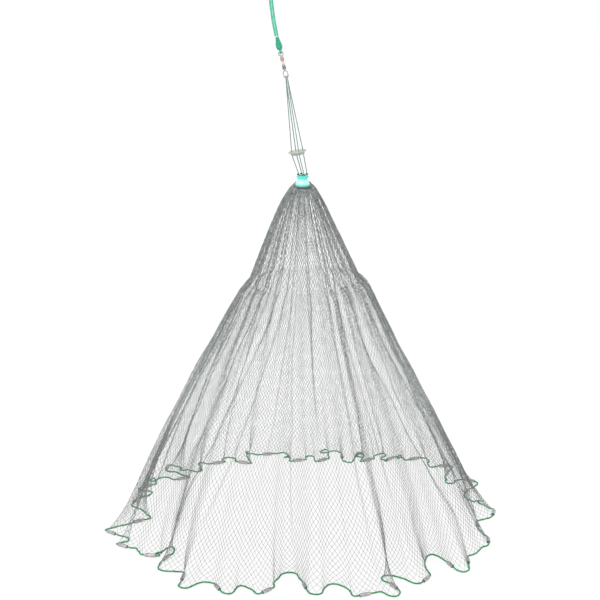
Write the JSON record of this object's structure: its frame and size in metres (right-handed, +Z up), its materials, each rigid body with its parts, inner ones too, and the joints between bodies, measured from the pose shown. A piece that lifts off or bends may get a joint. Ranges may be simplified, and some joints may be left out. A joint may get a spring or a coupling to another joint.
{
  "type": "cast net with its hand line and swivel",
  "caption": "Round throw net hung open from its hand line: two tiers of diamond mesh on a collar, over a hem rope with lead sinkers.",
  "frame": {"origin": "inside top of the hand loop, where the net is held; the net's own upright axis is 0.1 m to its right", "axes": "+Z up, towards the hand; +X to the net's right and +Y to its back, as seen from the front"},
  "size_m": [1.1615, 1.1507, 1.661],
  "materials": {
    "netting": "grey-white knotted nylon line",
    "hem_rope": "dark green twisted rope",
    "lead": "dull grey lead",
    "collar": "turquoise moulded plastic",
    "disc": "off-white moulded plastic",
    "brail_cord": "grey-teal braided cord",
    "swivel": "plated metal with a warm tarnish",
    "hand_line": "sea-green twisted rope"
  },
  "bodies": {
    "net": {"brail_cord_1": "brail_cord", "brail_cord_2": "brail_cord", "brail_knot_1": "brail_cord", "brail_knot_2": "brail_cord", "brail_knot_3": "brail_cord", "brail_knot_4": "brail_cord", "crown_collar": "collar", "crown_lashing": "brail_cord", "hem_rope": "hem_rope", "net_crown": "netting", "net_skirt": "netting", "sinker_01": "lead", "sinker_02": "lead", "sinker_03": "lead", "sinker_04": "lead", "sinker_05": "lead", "sinker_06": "lead", "sinker_07": "lead", "sinker_08": "lead", "sinker_09": "lead", "sinker_10": "lead", "sinker_11": "lead", "sinker_12": "lead", "sinker_13": "lead", "sinker_14": "lead", "sinker_15": "lead", "sinker_16": "lead", "sinker_17": "lead", "sinker_18": "lead", "sinker_19": "lead", "sinker_20": "lead", "sinker_21": "lead", "sinker_22": "lead", "sinker_23": "lead", "sinker_24": "lead", "sinker_25": "lead", "sinker_26": "lead", "sinker_27": "lead", "sinker_28": "lead", "sinker_29": "lead", "sinker_30": "lead", "sinker_31": "lead", "sinker_32": "lead", "sinker_33": "lead", "sinker_34": "lead", "sinker_35": "lead", "spreader_disc": "disc", "swivel_barrel": "swivel", "swivel_lower_eye": "swivel"},
    "line": {"hand_bight": "hand_line", "hand_hitch": "hand_line", "hand_knot": "hand_line", "hand_leg_left": "hand_line", "hand_leg_right": "hand_line", "hand_loop": "hand_line", "swivel_upper_eye": "swivel"}
  },
  "joints": [
    {"name": "swivel_spin", "type": "hinge", "parent": "net", "child": "line", "pos_m": [0.055, 0, -0.343], "axis": [-0.2284, 0, 0.9736], "continuous": true}
  ]
}
